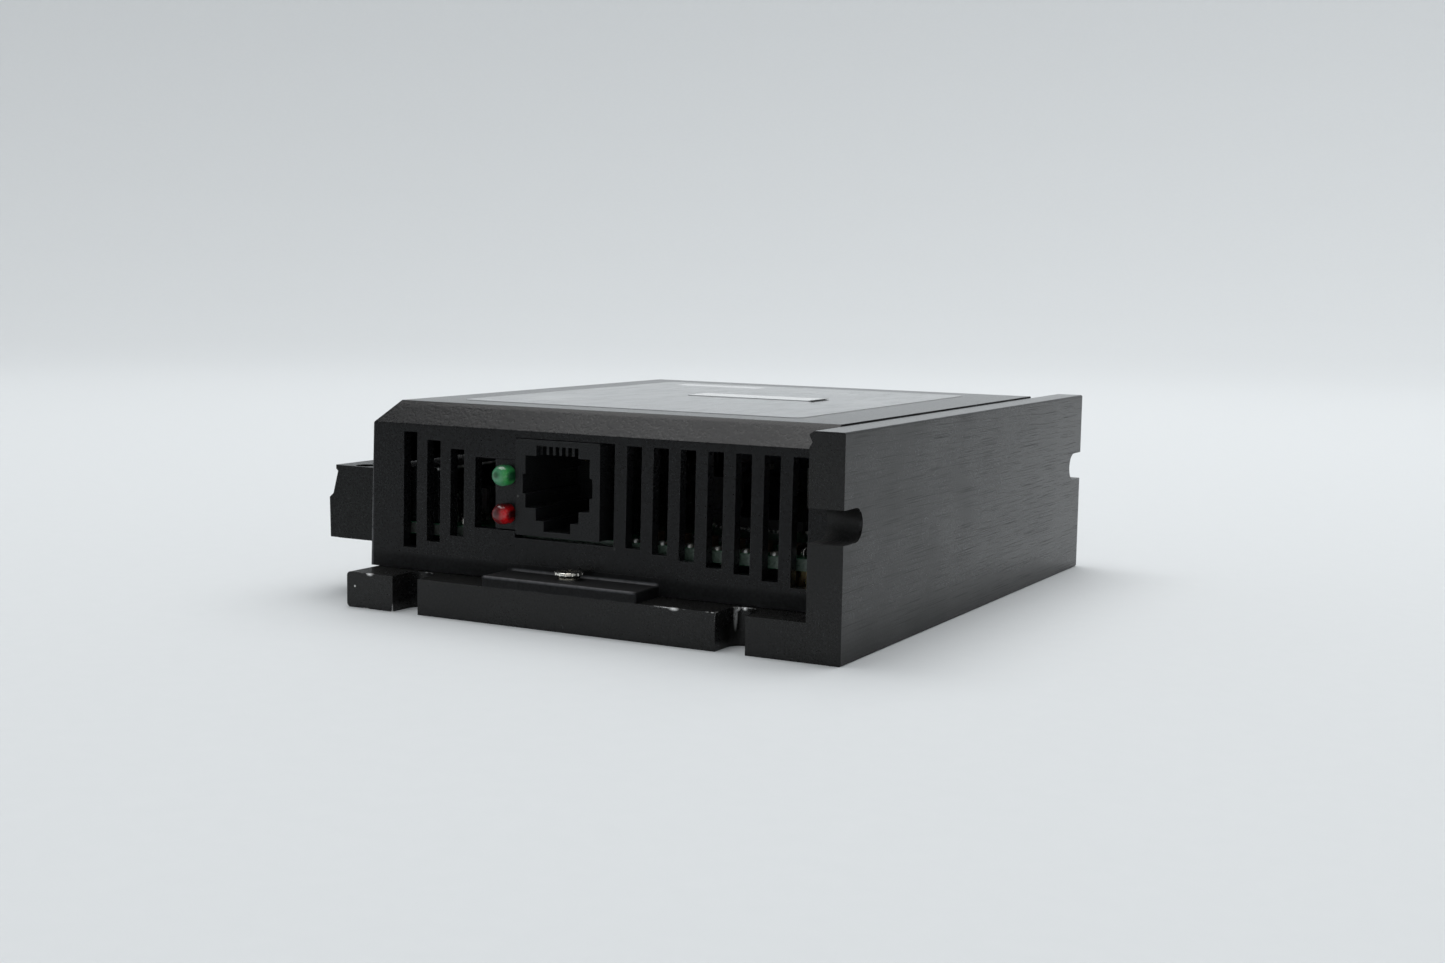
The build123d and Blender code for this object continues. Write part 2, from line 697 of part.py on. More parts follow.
driver_x = (60.5, 67.5)
driver_rows = (48.0, 60.0, 72.0)
driver_z = (board_top + 0.15, board_top + 2.5)
with BuildPart() as gate_drivers:
    for y in driver_rows:
        block(driver_x, around(y, 10.3), driver_z)
save(gate_drivers.part, "gate_drivers")

transceiver_x = (26.5, 36.5)
transceiver_y = (27.0, 31.0)
with BuildPart() as serial_transceiver:
    block(transceiver_x, transceiver_y, (board_top + 0.15, board_top + 1.75))
save(serial_transceiver.part, "serial_transceiver")


def gull_lead(x, y, toward):
    """One flat lead that leaves a chip's side at (x, y) and lands on the board."""
    reach = 1.0
    if toward[0]:
        span_x = tuple(sorted((x, x + toward[0] * reach)))
        block(span_x, around(y, 0.3), (board_top, board_top + 0.25))
    else:
        span_y = tuple(sorted((y, y + toward[1] * reach)))
        block(around(x, 0.3), span_y, (board_top, board_top + 0.25))


with BuildPart() as chip_leads:
    for i in range(20):
        step = 0.65 * (i - 9.5)
        for side, x in ((-1, controller_x[0]), (1, controller_x[1])):
            gull_lead(x, sum(controller_y) / 2 + step, (side, 0))
        for side, y in ((-1, controller_y[0]), (1, controller_y[1])):
            gull_lead(sum(controller_x) / 2 + step, y, (0, side))
    for row in driver_rows:
        for i in range(8):
            for side, x in ((-1, driver_x[0]), (1, driver_x[1])):
                gull_lead(x, row + 1.27 * (i - 3.5), (side, 0))
    for i in range(7):
        for side, y in ((-1, transceiver_y[0]), (1, transceiver_y[1])):
            gull_lead(sum(transceiver_x) / 2 + 1.27 * (i - 3), y, (0, side))
save(chip_leads.part, "chip_leads")

with BuildPart() as converter_transformer:
    block((13.0, 26.0), (35.8, 48.8), (board_top + 1.5, board_top + 9.5))
    block((15.5, 23.5), (34.3, 50.3), (board_top, board_top + 1.5))
save(converter_transformer.part, "converter_transformer")

with BuildPart() as power_inductor:
    post(36.5, 42.5, (board_top, board_top + 1.0), 5.0)
    post(36.5, 42.5, (board_top + 1.0, board_top + 5.0), 3.6)
    post(36.5, 42.5, (board_top + 5.0, board_top + 6.0), 5.0)
save(power_inductor.part, "power_inductor")

with BuildPart() as clock_crystal:
    block((26.6, 30.9), (32.4, 43.2), (board_top, board_top + 3.6))
    fillet(edges().filter_by(Axis.Z), radius=2.1)
save(clock_crystal.part, "clock_crystal")

with BuildPart() as sense_resistors:
    for x in (14.5, 14.5 + 8.0):
        block(around(x, 6.4), (30.0, 33.2), (board_top, board_top + 0.7))
save(sense_resistors.part, "sense_resistors")

with BuildPart() as voltage_regulator:
    block((14.0, 20.5), (22.0, 28.0), (board_top + 0.1, board_top + 2.4))
save(voltage_regulator.part, "voltage_regulator")

with BuildPart() as ceramic_capacitors:
    for i in range(6):
        block(around(43.6 + vent_pitch * i, 1.6), (9.4, 12.4), (board_top, board_top + 1.3))
save(ceramic_capacitors.part, "ceramic_capacitors")

with BuildPart() as edge_solder:
    for i in range(6):
        post(41.9 + 4.15 * i, 8.85, (board_top, board_top + 0.55), 0.65)
        fillet(edges(Select.LAST).sort_by(Axis.Z)[-1], 0.4)
save(edge_solder.part, "edge_solder")

with BuildPart() as chip_resistors:
    for i in range(7):
        block(around(43.6 + 3.6 * i, 1.25), (16.0, 18.0), (board_top, board_top + 0.55))
save(chip_resistors.part, "chip_resistors")
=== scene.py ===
import json
import math

import bmesh
import bpy
from mathutils import Matrix, Vector


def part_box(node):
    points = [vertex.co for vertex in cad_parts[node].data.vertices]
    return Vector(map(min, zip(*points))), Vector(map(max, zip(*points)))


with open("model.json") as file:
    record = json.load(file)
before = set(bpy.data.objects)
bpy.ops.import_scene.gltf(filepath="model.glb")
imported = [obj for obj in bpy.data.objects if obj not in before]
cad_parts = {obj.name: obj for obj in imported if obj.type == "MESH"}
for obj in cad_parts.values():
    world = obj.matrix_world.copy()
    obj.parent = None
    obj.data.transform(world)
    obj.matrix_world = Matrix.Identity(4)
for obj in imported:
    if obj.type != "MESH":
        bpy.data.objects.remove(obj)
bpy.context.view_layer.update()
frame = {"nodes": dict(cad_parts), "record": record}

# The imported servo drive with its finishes, on a pale seamless stage. Lengths are in metres, except in the
# finishes, where places and lengths are in millimetres from the plate's lower front left corner.

MM = 0.001
nodes = frame["nodes"]
corner = Vector(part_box("heat_plate")[0])


def box_mm(name):
    """The low and the high corner of a node's box, in millimetres from the plate's corner."""
    return tuple((end - corner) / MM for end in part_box(name))


plate_width, plate_depth, wall_height = box_mm("heat_plate")[1]
roof_height = box_mm("cover")[1].z
PLATE_THICKNESS = 5.0
SCREW_TAB_TOP = 6.45

# Both are lower than the real materials' index of refraction (about 1.5 and 1.6), which keeps the black
# faces as dark as the photo shows them under these lights
PLASTIC_IOR = 1.29
ANODISED_IOR = 1.38


# ---------------------------------------------------------------- node materials


class Finish:
    """A Principled material under construction, with short ways to add the nodes that feed it."""

    def __init__(self, name, **constants):
        self.material = bpy.data.materials.new(name)
        self.material.use_nodes = True
        self.tree = self.material.node_tree
        self.shader = self.tree.nodes["Principled BSDF"]
        self.normal = None
        for key, value in constants.items():
            self.set(key.replace("_", " "), value)
        coordinates = self.tree.nodes.new("ShaderNodeTexCoord").outputs["Object"]
        moved = self.vector("SUBTRACT", coordinates, corner)
        self.place = self.vector("SCALE", moved, Scale=1 / MM)
        self.across, self.deep, self.height = (self.part_of(self.place, axis) for axis in range(3))

    def put(self, socket, value):
        """Links an output to an input, or sets the input to a constant. A colour gets an alpha of 1."""
        if isinstance(value, bpy.types.NodeSocket):
            self.tree.links.new(value, socket)
        else:
            socket.default_value = (*value, 1) if socket.type == "RGBA" else value

    def set(self, name, value):
        """Gives one of the shader's own inputs a constant or an output."""
        self.put(self.shader.inputs[name], value)

    def node(self, kind, inputs, output=0, **settings):
        """Adds a node with its inputs by name or number, and returns one of its outputs."""
        made = self.tree.nodes.new("ShaderNode" + kind)
        for key, value in settings.items():
            setattr(made, key, value)
        for key, value in inputs.items():
            self.put(made.inputs[key], value)
        return made.outputs[output]

    def part_of(self, vector, axis):
        """One component of a vector, by its number."""
        return self.node("SeparateXYZ", {0: vector}, axis)

    def flat_normal(self):
        """The direction that the face itself points in, without any relief."""
        return self.tree.nodes.new("ShaderNodeNewGeometry").outputs["True Normal"]

    def vector(self, operation, a, b=(0, 0, 0), output=0, **inputs):
        """One step of arithmetic on vectors."""
        return self.node("VectorMath", {0: a, 1: b, **inputs}, output, operation=operation)

    def math(self, operation, a, b):
        """One step of arithmetic on two numbers."""
        return self.node("Math", {0: a, 1: b}, operation=operation)

    def noise(self, scale, stretch=(1, 1, 1), detail=3.0, warp=0.0):
        """Noise with a scale in features per millimetre. A stretch under 1 draws it out on that axis."""
        at = self.vector("MULTIPLY", self.place, stretch)
        wanted = {"Vector": at, "Scale": scale, "Detail": detail, "Distortion": warp}
        return self.node("TexNoise", wanted)

    def specks(self, scale, size):
        """Sparse round dots: 1 inside a dot, 0 elsewhere. Only some cells hold one."""
        distance = self.node("TexVoronoi", {"Vector": self.place, "Scale": scale})
        colour = self.node("TexVoronoi", {"Vector": self.place, "Scale": scale}, output=1)
        chosen = self.ramp(self.node("SeparateColor", {0: colour}), 0.86, 0.9)
        return self.math("MULTIPLY", self.ramp(distance, size, size * 0.6), chosen)

    def ramp(self, value, low, high, out_low=0.0, out_high=1.0):
        """The value rescaled from one range to another and kept inside it."""
        wanted = {0: value, 1: low, 2: high, 3: out_low, 4: out_high}
        return self.node("MapRange", wanted, clamp=True)

    def mix(self, factor, a, b):
        """A colour between two colours."""
        return self.node("Mix", {0: factor, 6: a, 7: b}, output=2, data_type="RGBA")

    def blend(self, factor, a, b):
        """A number between two numbers."""
        return self.node("Mix", {0: factor, 2: a, 3: b}, data_type="FLOAT")

    def near(self, point, reach, stretch=(1, 1, 1)):
        """1 at a point in millimetres, 0 from its reach on. A stretch under 1 lengthens that axis."""
        here = self.vector("MULTIPLY", self.place, stretch)
        there = tuple(at * factor for at, factor in zip(point, stretch))
        distance = self.vector("DISTANCE", here, there, output=1)
        return self.ramp(distance, reach, reach * 0.35)

    def any_near(self, *spots):
        """The strongest of several near() spots."""
        total = self.near(*spots[0])
        for spot in spots[1:]:
            total = self.math("MAXIMUM", total, self.near(*spot))
        return total

    def all_of(self, *masks):
        """The product of several masks."""
        total = masks[0]
        for mask in masks[1:]:
            total = self.math("MULTIPLY", total, mask)
        return total

    def patch(self, x, y):
        """1 over a rectangle seen from above, between two spans in millimetres."""
        soft = 0.3
        return self.all_of(
            self.ramp(self.across, x[0] - soft, x[0] + soft),
            self.ramp(self.across, x[1] + soft, x[1] - soft),
            self.ramp(self.deep, y[0] - soft, y[0] + soft),
            self.ramp(self.deep, y[1] + soft, y[1] - soft),
        )

    def edges(self, radius):
        """1 on the object's sharp edges, fading to 0 on its flat faces. The radius is in millimetres."""
        rounded = self.node("Bevel", {"Radius": radius * MM}, samples=6)
        turned = self.vector("DOT_PRODUCT", rounded, self.flat_normal(), output=1)
        return self.ramp(self.math("SUBTRACT", 1.0, turned), 0.03, 0.2)

    def bump(self, height, depth, strength):
        """Adds relief with a depth in millimetres to the shader's normal."""
        wanted = {"Height": height, "Distance": depth * MM, "Strength": strength}
        if self.normal:
            wanted["Normal"] = self.normal
        self.normal = self.node("Bump", wanted)
        self.set("Normal", self.normal)


# Places on the plate, each with a point, a reach and perhaps a stretch for near(): worn spots on its edges,
# nicks down to the metal, a scratch down beside the right slot, and the open slot in the wall
WORN_SPOTS = (
    ((52.0, 0.0, PLATE_THICKNESS), 2.6),
    ((58.4, 0.0, 4.8), 1.1),
    ((60.4, 5.3, PLATE_THICKNESS), 1.6),
    ((60.5, 3.0, 0.1), 1.6),
    ((3.7, 0.0, PLATE_THICKNESS), 1.3),
    ((3.4, 0.0, 0.2), 0.7),
    ((8.0, 0.0, 0.2), 1.0),
)
NICKS = (
    ((1.4, 0.0, 3.0), 0.2),
    ((4.0, 0.1, 4.9), 0.34, (0.5, 1, 1)),
    ((59.4, 4.8, 4.9), 0.5),
    ((60.3, 5.3, 4.9), 0.4),
    ((52.8, 0.1, 4.9), 0.35, (0.4, 1, 1)),
)
SLOT_SCRATCH = ((59.2, 4.7, 4.2), 0.36, (1, 1, 0.14))
WALL_SLOT = ((73.0, 3.0, 14.2), 5.5, (0.6, 1, 1))


def bare_metal(finish, grain):
    """1 where the plate's black skin is knocked or scratched off."""
    bite = finish.ramp(finish.noise(1.4, detail=5, warp=0.6), 0.44, 0.5)
    rare_bite = finish.ramp(finish.noise(0.5, detail=5), 0.68, 0.71)
    bitten = finish.math("MAXIMUM", finish.all_of(finish.any_near(*WORN_SPOTS), bite), rare_bite)
    chips = finish.all_of(finish.edges(0.35), bitten)
    scratch = finish.all_of(finish.near(*SLOT_SCRATCH), finish.ramp(grain, 0.3, 0.4))
    return finish.math("MAXIMUM", chips, finish.math("MAXIMUM", scratch, finish.any_near(*NICKS)))


def anodised_plate():
    """Black anodised aluminium: a fine drawn grain, hairlines, and bare metal where it was knocked."""
    finish = Finish("anodised_plate", IOR=ANODISED_IOR)
    drawn = finish.noise(4.0, stretch=(1, 0.035, 1), detail=5)
    hairline = finish.ramp(finish.noise(9.0, stretch=(1, 0.012, 1), detail=3), 0.54, 0.7)
    light_line = finish.ramp(finish.noise(3.7, stretch=(1, 0.03, 1), detail=2), 0.66, 0.74)
    grain = finish.noise(3.2, detail=3)
    clouds = finish.noise(0.09, detail=4)
    streaks = finish.ramp(finish.math("ADD", drawn, grain), 0.7, 1.3)
    black = finish.mix(streaks, (0.0032, 0.0031, 0.003), (0.012, 0.0118, 0.0115))
    black = finish.mix(finish.math("MULTIPLY", light_line, 0.4), black, (0.05, 0.05, 0.052))
    dust = finish.math("MULTIPLY", finish.specks(0.35, 0.1), 0.3)
    bare = bare_metal(finish, grain)
    dusty = finish.mix(dust, black, (0.3, 0.3, 0.29))
    finish.set("Base Color", finish.mix(bare, dusty, (0.78, 0.77, 0.76)))
    finish.set("Metallic", finish.math("MULTIPLY", bare, 0.9))
    satin = finish.ramp(finish.math("ADD", grain, clouds), 0.7, 1.3, 0.22, 0.4)
    # The wall's outer face is dull along its foot and smoother towards the back
    outer_face = finish.ramp(finish.across, plate_width - 0.6, plate_width - 0.2)
    foot = finish.ramp(finish.height, 6.0, 0.5, 0.0, 0.4)
    backward = finish.ramp(finish.deep, 8.0, plate_depth, 0.0, 0.65)
    satin = finish.blend(finish.all_of(outer_face, foot), satin, 0.85)
    satin = finish.blend(finish.all_of(outer_face, backward), satin, 0.15)
    # The wall slot's bore is dull
    inside = finish.all_of(finish.ramp(finish.deep, 0.1, 0.2), finish.math("SUBTRACT", 1.0, outer_face))
    satin = finish.blend(finish.all_of(finish.near(*WALL_SLOT), inside), satin, 0.9)
    satin = finish.blend(hairline, satin, 0.5)
    # The wall's top is smooth, with almost no relief
    wall_top = finish.ramp(finish.height, wall_height - 0.25, wall_height - 0.1)
    finish.set("Roughness", finish.blend(wall_top, satin, 0.16))
    calm = finish.math("SUBTRACT", 1.0, wall_top)
    finish.bump(finish.math("MULTIPLY", drawn, calm), 0.02, 0.4)
    finish.bump(finish.math("MULTIPLY", grain, calm), 0.02, 0.3)
    finish.bump(finish.math("SUBTRACT", 1.0, bare), 0.06, 0.7)
    return finish.material


# A span of y that takes in the whole object
WHOLE_DEPTH = (-20, 200)


def moulded(name, black, gloss, grain=2.6, depth=0.03, highlight_lines=()):
    """Black moulded plastic with a spark-eroded texture, rubbed edges and a little dust.

    Each of the painted highlight lines is a near() spot, the span of x it runs over and its colour.
    """
    finish = Finish(name, IOR=PLASTIC_IOR)
    texture = finish.noise(grain, detail=3)
    mottle = finish.noise(1.2, detail=4)
    clouds = finish.noise(0.08, detail=4)
    worn = finish.math("MULTIPLY", finish.edges(0.3), finish.ramp(finish.noise(0.45, detail=4), 0.42, 0.62))
    dust = finish.specks(0.32, 0.07)
    darker, lighter = (tuple(channel * share for channel in black) for share in (0.5, 1.5))
    colour = finish.mix(finish.ramp(texture, 0.3, 0.7), darker, lighter)
    colour = finish.mix(finish.math("MULTIPLY", worn, 0.5), colour, (0.05, 0.05, 0.052))
    patchy = finish.ramp(finish.noise(0.8, detail=3), 0.3, 0.55, 0.55, 1.0)
    # Painted highlights: thin light lines painted along the given spots
    for spot, span, highlight_colour in highlight_lines:
        here = finish.all_of(finish.near(*spot), finish.patch(span, WHOLE_DEPTH))
        colour = finish.mix(finish.math("MULTIPLY", here, patchy), colour, highlight_colour)
    finish.set("Base Color", finish.mix(finish.math("MULTIPLY", dust, 0.2), colour, (0.3, 0.3, 0.29)))
    uneven = finish.math("ADD", texture, finish.math("MULTIPLY", clouds, 0.5))
    satin = finish.ramp(uneven, 0.5, 1.0, gloss - 0.1, gloss + 0.1)
    # The cover's roof is smoother than its sides, most of all along its front, and its screw tabs are dull
    roof = finish.ramp(finish.height, roof_height - 0.55, roof_height - 0.15)
    front_band = finish.ramp(finish.deep, 8.5, 5.0)
    screw_tabs = finish.ramp(finish.height, SCREW_TAB_TOP + 1.05, SCREW_TAB_TOP + 0.35)
    satin = finish.blend(screw_tabs, satin, 0.65)
    finish.set("Roughness", finish.blend(roof, satin, finish.blend(front_band, 0.17, 0.07)))
    calm = finish.blend(roof, 1.0, finish.blend(front_band, 0.36, 0.08))
    finish.bump(finish.math("MULTIPLY", texture, calm), depth, 0.6)
    finish.bump(finish.math("MULTIPLY", mottle, calm), depth * 1.5, 0.35)
    return finish.material


# Spans of x and y of the plain blocks printed on the label
BRIGHT_BLOCK = ((13.6, 28.8), (69.0, 73.0))
FAINT_BLOCKS = (
    ((37.0, 49.0), (64.6, 68.2)),
    ((54.0, 60.6), (48.0, 52.0)),
    ((13.6, 20.0), (22.0, 34.0)),
)


def film(name, colour, gloss, mottling, printed=False):
    """Plastic film: smooth and slightly wavy, with faint handling marks and painted light on its cut edge.

    It may have plain printed blocks.
    """
    finish = Finish(name, IOR=1.55)
    waves = finish.noise(0.06, detail=2)
    marks = finish.noise(0.5, stretch=(1, 0.3, 1), detail=4)
    speckle = finish.noise(6.0, detail=2)
    darker = tuple(channel * (1 - mottling) for channel in colour)
    shade = finish.mix(marks, darker, colour)
    # Painted light: faces that don't point up, along the film's cut edge, are painted pale so that the edge
    # shows no dark shade
    upward = finish.part_of(finish.flat_normal(), 2)
    shade = finish.mix(finish.ramp(upward, 0.5, 0.2), shade, (0.72, 0.73, 0.73))
    if printed:
        blocks = finish.patch(*BRIGHT_BLOCK)
        for x, y in FAINT_BLOCKS:
            blocks = finish.math("MAXIMUM", blocks, finish.math("MULTIPLY", finish.patch(x, y), 0.2))
        shade = finish.mix(blocks, shade, (0.62, 0.63, 0.63))
    dust = finish.math("MULTIPLY", finish.specks(0.3, 0.1), 0.4)
    finish.set("Base Color", finish.mix(dust, shade, (0.6, 0.6, 0.58)))
    finish.set("Roughness", finish.ramp(marks, 0.3, 0.7, gloss - 0.04, gloss + 0.06))
    finish.bump(speckle, 0.003, 0.4)
    finish.bump(waves, 0.1, 0.2)
    return finish.material


def metal(name, colour, gloss, stretch=(1, 1, 1), tarnish=(0.4, 0.34, 0.26)):
    """Plated or bare metal with fine tool marks and a little tarnish."""
    finish = Finish(name, Metallic=1.0)
    fine = finish.noise(5.0, stretch=stretch, detail=3)
    clouds = finish.noise(0.7, detail=4)
    stained = finish.math("MULTIPLY", finish.ramp(clouds, 0.52, 0.75), 0.5)
    finish.set("Base Color", finish.mix(stained, colour, tarnish))
    uneven = finish.math("ADD", fine, clouds)
    finish.set("Roughness", finish.ramp(uneven, 0.6, 1.4, gloss - 0.08, gloss + 0.12))
    finish.bump(fine, 0.008, 0.5)
    return finish.material


def lens(name, node, colour, deep, painted_highlight):
    """Diffused, tinted epoxy of a status light, its chip dark through its tip, with painted highlight,
    painted shade and painted glints.
    """
    finish = Finish(name, IOR=1.54, Subsurface_Weight=0.4, Subsurface_Scale=0.8 * MM, Roughness=0.16)
    finish.set("Subsurface Radius", (1.0, 0.8, 0.6))
    low, high = box_mm(node)
    middle = (low + high) / 2
    tip = (middle.x, low.y, middle.z)
    # Painted glints: a pale speckled ring round the tip
    glint_ring = finish.math("SUBTRACT", finish.near(tip, 2.2), finish.near(tip, 1.5))
    speckle = finish.ramp(finish.noise(3.2, detail=2), 0.42, 0.58)
    # A painted highlight right of the middle, painted shade along its right rim and towards its top, and
    # dark over its chip
    shade = finish.mix(finish.ramp(finish.across, middle.x + 0.2, middle.x + 1.1), colour, painted_highlight)
    shade = finish.mix(finish.ramp(finish.across, middle.x + 1.15, middle.x + 1.4), shade, deep)
    shade = finish.mix(finish.ramp(finish.height, middle.z + 0.5, high.z), shade, deep)
    shade = finish.mix(finish.near((middle.x - 0.2, low.y, middle.z + 0.2), 0.8), shade, deep)
    pale = tuple(0.25 + channel * 0.75 for channel in colour)
    glints = finish.all_of(glint_ring, speckle, 0.25)
    finish.set("Base Color", finish.mix(glints, shade, pale))
    finish.bump(finish.noise(3.0, detail=2), 0.02, 0.4)
    return finish.material


def board_laminate():
    """Green solder mask with tracks under it, and mottled cut edges."""
    finish = Finish("board_laminate", IOR=1.5, Coat_Weight=0.3, Coat_Roughness=0.2)
    low, high = (end.z for end in box_mm("circuit_board"))
    edge = finish.all_of(
        finish.ramp(finish.height, low + 0.04, low + 0.06),
        finish.ramp(finish.height, high - 0.04, high - 0.06),
    )
    cells = finish.node("TexVoronoi", {"Vector": finish.place, "Scale": 0.16}, distance="MANHATTAN")
    tracks = finish.math("PINGPONG", finish.math("MULTIPLY", cells, 9.0), 0.5)
    copper = finish.ramp(tracks, 0.2, 0.28)
    mask = finish.mix(copper, (0.006, 0.06, 0.028), (0.014, 0.13, 0.05))
    weave = finish.noise(2.5, detail=2)
    # The cut edge is greyer at its left end
    cut = finish.mix(weave, (0.036, 0.06, 0.045), (0.09, 0.13, 0.1))
    grey_cut = finish.mix(weave, (0.025, 0.028, 0.025), (0.07, 0.075, 0.068))
    cut = finish.mix(finish.ramp(finish.across, 18.0, 12.0), cut, grey_cut)
    finish.set("Base Color", finish.mix(edge, mask, cut))
    finish.set("Roughness", finish.ramp(weave, 0.3, 0.7, 0.25, 0.45))
    finish.bump(copper, 0.03, 0.5)
    return finish.material


def dull(name, colour, other, gloss, grain, depth=0.02):
    """Material without metal or print, mottled between two colours."""
    finish = Finish(name, IOR=1.45)
    spots = finish.noise(grain, detail=4)
    finish.set("Base Color", finish.mix(finish.ramp(spots, 0.35, 0.65), colour, other))
    finish.set("Roughness", finish.ramp(spots, 0.3, 0.7, gloss - 0.08, gloss + 0.08))
    finish.bump(spots, depth, 0.5)
    return finish.material


# Painted highlight lines run along the axis that their view leaves out: painted highlights on the front
# tab's top edge, its root and the cover's front left corner, and a painted glint on the header's edge
# behind the left vents
SIDE_VIEW = (0, 1, 1)
FRONT_VIEW = (1, 0, 1)
TOP_VIEW = (1, 1, 0)
cover_highlights = [
    (((0, 0.1, SCREW_TAB_TOP - 0.09), 0.32, SIDE_VIEW), (23.3, 46.9), (0.085, 0.085, 0.09)),
    (((0, 5.9, SCREW_TAB_TOP + 0.11), 0.34, SIDE_VIEW), (24.0, 46.9), (0.1, 0.1, 0.105)),
    (((-0.5, 6.0, 0), 0.5, TOP_VIEW), (-2.0, 1.0), (0.1, 0.1, 0.105)),
]
header_glints = [(((9.4, 0, 19.4), 0.4, FRONT_VIEW), (5.0, 12.0), (0.9, 0.9, 0.88))]

finishes = {
    "anodised_plate": anodised_plate(),
    "cover_plastic": moulded("cover_plastic", (0.0065, 0.0067, 0.0072), 0.3, highlight_lines=cover_highlights),
    "jack_plastic": moulded("jack_plastic", (0.011, 0.0115, 0.012), 0.3, grain=7.0, depth=0.006),
    "terminal_plastic": moulded(
        "terminal_plastic", (0.0065, 0.007, 0.007), 0.3, highlight_lines=header_glints
    ),
    "label_film": film("label_film", (0.16, 0.165, 0.17), 0.085, 0.12, printed=True),
    "sticker_film": film("sticker_film", (0.72, 0.73, 0.73), 0.08, 0.04),
    "screw_steel": metal("screw_steel", (0.76, 0.74, 0.69), 0.16),
    "standoff_brass": metal("standoff_brass", (0.72, 0.58, 0.3), 0.3, tarnish=(0.35, 0.24, 0.1)),
    "tinned_copper": metal("tinned_copper", (0.48, 0.48, 0.46), 0.44),
    "gold_contact": metal("gold_contact", (0.5, 0.46, 0.33), 0.22, tarnish=(0.25, 0.26, 0.2)),
    "shell_plating": metal("shell_plating", (0.68, 0.67, 0.63), 0.28, stretch=(0.2, 1, 1)),
    "green_lens": lens(
        "green_lens", "green_led", (0.09, 0.31, 0.17), (0.012, 0.1, 0.035), (0.04, 0.36, 0.08)
    ),
    "red_lens": lens(
        "red_lens", "red_led", (0.15, 0.004, 0.006), (0.06, 0.001, 0.002), (0.72, 0.001, 0.006)
    ),
    "board_laminate": board_laminate(),
    "gap_pad": dull("gap_pad", (0.3, 0.31, 0.33), (0.4, 0.41, 0.43), 0.8, 2.0),
    "epoxy": dull("epoxy", (0.014, 0.014, 0.015), (0.022, 0.022, 0.024), 0.5, 6.0, 0.01),
    "nylon": dull("nylon", (0.7, 0.68, 0.6), (0.78, 0.76, 0.7), 0.45, 1.0, 0.01),
    "capacitor_sleeve": dull("capacitor_sleeve", (0.008, 0.01, 0.022), (0.012, 0.014, 0.03), 0.28, 0.4),
    "ferrite": dull("ferrite", (0.03, 0.03, 0.032), (0.07, 0.07, 0.072), 0.6, 3.0),
    "resistor_ceramic": dull("resistor_ceramic", (0.02, 0.02, 0.024), (0.05, 0.05, 0.055), 0.4, 3.0),
    "capacitor_ceramic": dull("capacitor_ceramic", (0.07, 0.04, 0.022), (0.12, 0.07, 0.04), 0.45, 3.0),
}
for part in frame["record"]["subparts"]:
    for slot in nodes[part["node"]].material_slots:
        slot.material = finishes[part["material_slot"]]


# ---------------------------------------------------------------- stage, lights and camera

FLAT_RADIUS = 0.75
SWEEP_RADIUS = 0.8
WALL_TOP = 1.6
ROUND_STEPS = 96
FLAT_STEPS = 4
SWEEP_STEPS = 12


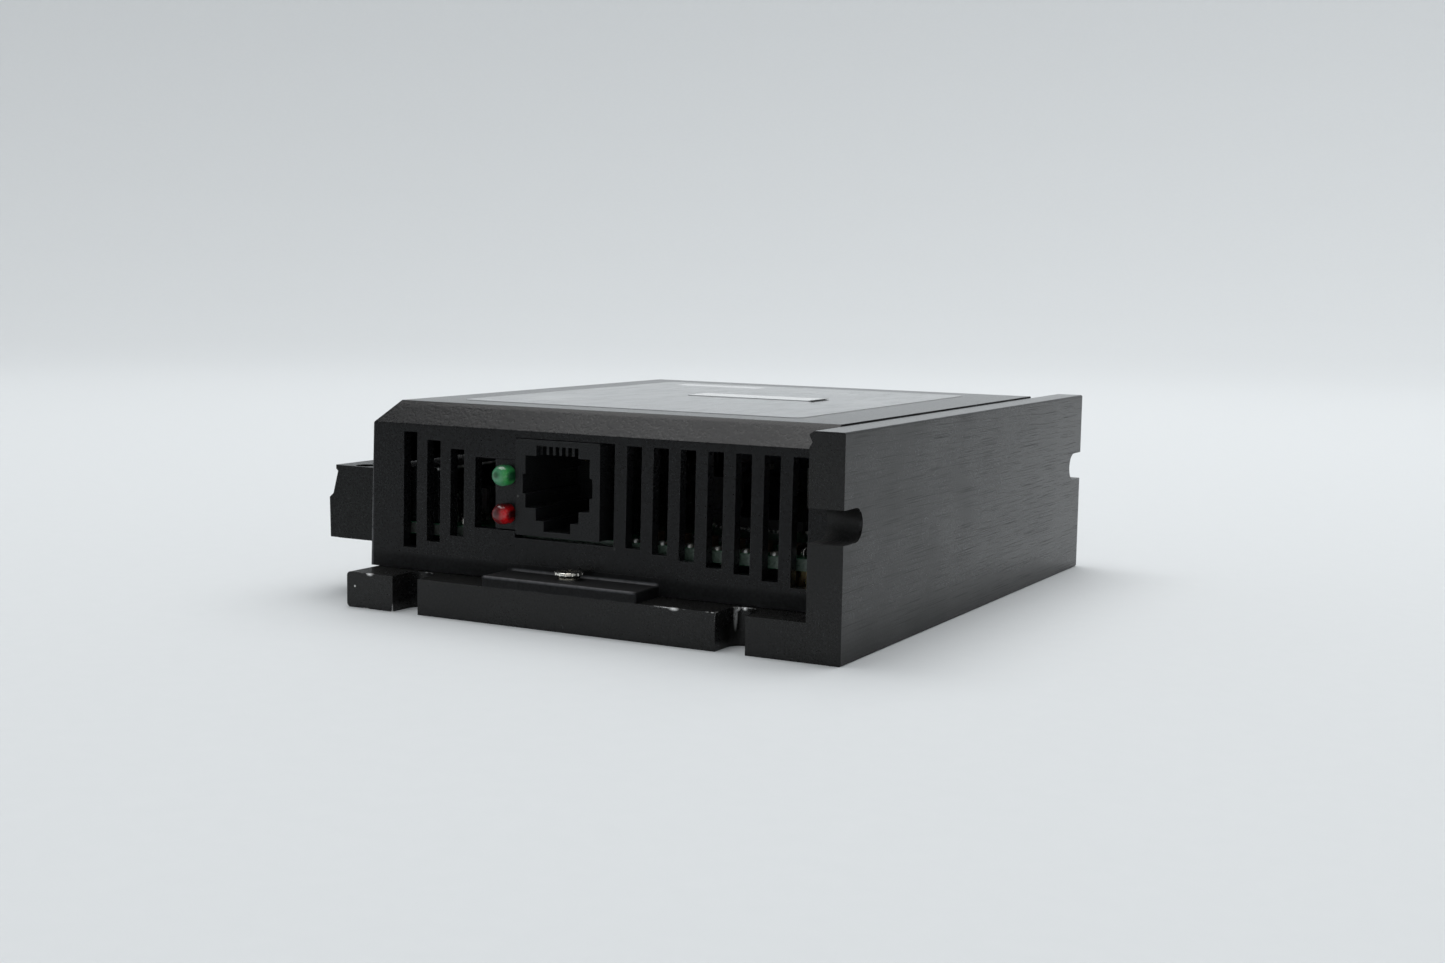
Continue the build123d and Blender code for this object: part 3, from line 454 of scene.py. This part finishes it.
def stage_dish():
    """Flat round floor that sweeps up into a wall, so that every side of the object has a backdrop."""
    profile = [(FLAT_RADIUS * step / FLAT_STEPS, 0.0) for step in range(1, FLAT_STEPS + 1)]
    for step in range(1, SWEEP_STEPS + 1):
        turn = math.radians(90 * step / SWEEP_STEPS)
        out, up = math.sin(turn), 1 - math.cos(turn)
        profile.append((FLAT_RADIUS + SWEEP_RADIUS * out, SWEEP_RADIUS * up))
    profile.append((FLAT_RADIUS + SWEEP_RADIUS, WALL_TOP))
    mesh = bmesh.new()
    centre = mesh.verts.new((0, 0, 0))
    rings = []
    around = [2 * math.pi * step / ROUND_STEPS for step in range(ROUND_STEPS)]
    for radius, height in profile:
        points = [(radius * math.cos(angle), radius * math.sin(angle), height) for angle in around]
        rings.append([mesh.verts.new(point) for point in points])
    for here in range(ROUND_STEPS):
        after = (here + 1) % ROUND_STEPS
        mesh.faces.new((centre, rings[0][here], rings[0][after]))
        for inner, outer in zip(rings, rings[1:]):
            mesh.faces.new((inner[here], outer[here], outer[after], inner[after]))
    data = bpy.data.meshes.new("stage_dish")
    mesh.to_mesh(data)
    mesh.free()
    data.shade_smooth()
    dish = bpy.data.objects.new("stage_dish", data)
    bpy.context.scene.collection.objects.link(dish)
    finish = Finish("stage_paper", Roughness=0.75, IOR=1.4)
    fibres = finish.noise(0.35, detail=5)
    finish.set("Base Color", finish.mix(fibres, (0.6, 0.622, 0.635), (0.62, 0.64, 0.652)))
    finish.bump(fibres, 0.05, 0.15)
    data.materials.append(finish.material)
    return dish


def softbox(name, place, target, size, power):
    """Large rectangular area light at a place, turned to its target."""
    light = bpy.data.lights.new(name, "AREA")
    light.shape = "RECTANGLE"
    light.size, light.size_y = size
    light.energy = power
    lamp = bpy.data.objects.new(name, light)
    lamp.location = place
    lamp.rotation_euler = (Vector(target) - Vector(place)).to_track_quat("-Z", "Y").to_euler()
    bpy.context.scene.collection.objects.link(lamp)


def studio():
    """A broad light overhead, a weaker one behind the object, and a low even fill all round."""
    softbox("overhead", place=(-0.22, 0.2, 1.25), target=(0, 0.05, 0), size=(1.2, 1.2), power=17)
    softbox("back_fill", place=(0.36, 0.72, 1.0), target=(0, 0.3, 0), size=(1.0, 0.6), power=4.4)
    world = bpy.data.worlds.new("studio")
    world.use_nodes = True
    surround = world.node_tree.nodes["Background"]
    surround.inputs["Color"].default_value = (0.93, 0.97, 1.0, 1)
    surround.inputs["Strength"].default_value = 0.18
    bpy.context.scene.world = world
    bpy.context.scene.view_settings.view_transform = "Standard"


# The camera stands in front of the object, to its right and a little above it
CAMERA_PLACE = Vector((0.127352, -0.246648, 0.046508))
CAMERA_YAW = 28.0005
CAMERA_PITCH = 6.296
CAMERA_ROLL = 0.9433
CAMERA_LENS = 45.451
SENSOR_WIDTH = 36.0


def add_camera():
    """The camera that the photo was taken with, as fitted to the plate's and cover's corners."""
    data = bpy.data.cameras.new("camera")
    data.lens = CAMERA_LENS
    data.sensor_width = SENSOR_WIDTH
    data.clip_start = 0.01
    camera = bpy.data.objects.new("camera", data)
    yaw = Matrix.Rotation(math.radians(CAMERA_YAW), 4, "Z")
    pitch = Matrix.Rotation(math.radians(90 - CAMERA_PITCH), 4, "X")
    roll = Matrix.Rotation(math.radians(CAMERA_ROLL), 4, "Z")
    camera.matrix_world = Matrix.Translation(CAMERA_PLACE) @ yaw @ pitch @ roll
    bpy.context.scene.collection.objects.link(camera)
    bpy.context.scene.camera = camera


stage_dish()
studio()
add_camera()
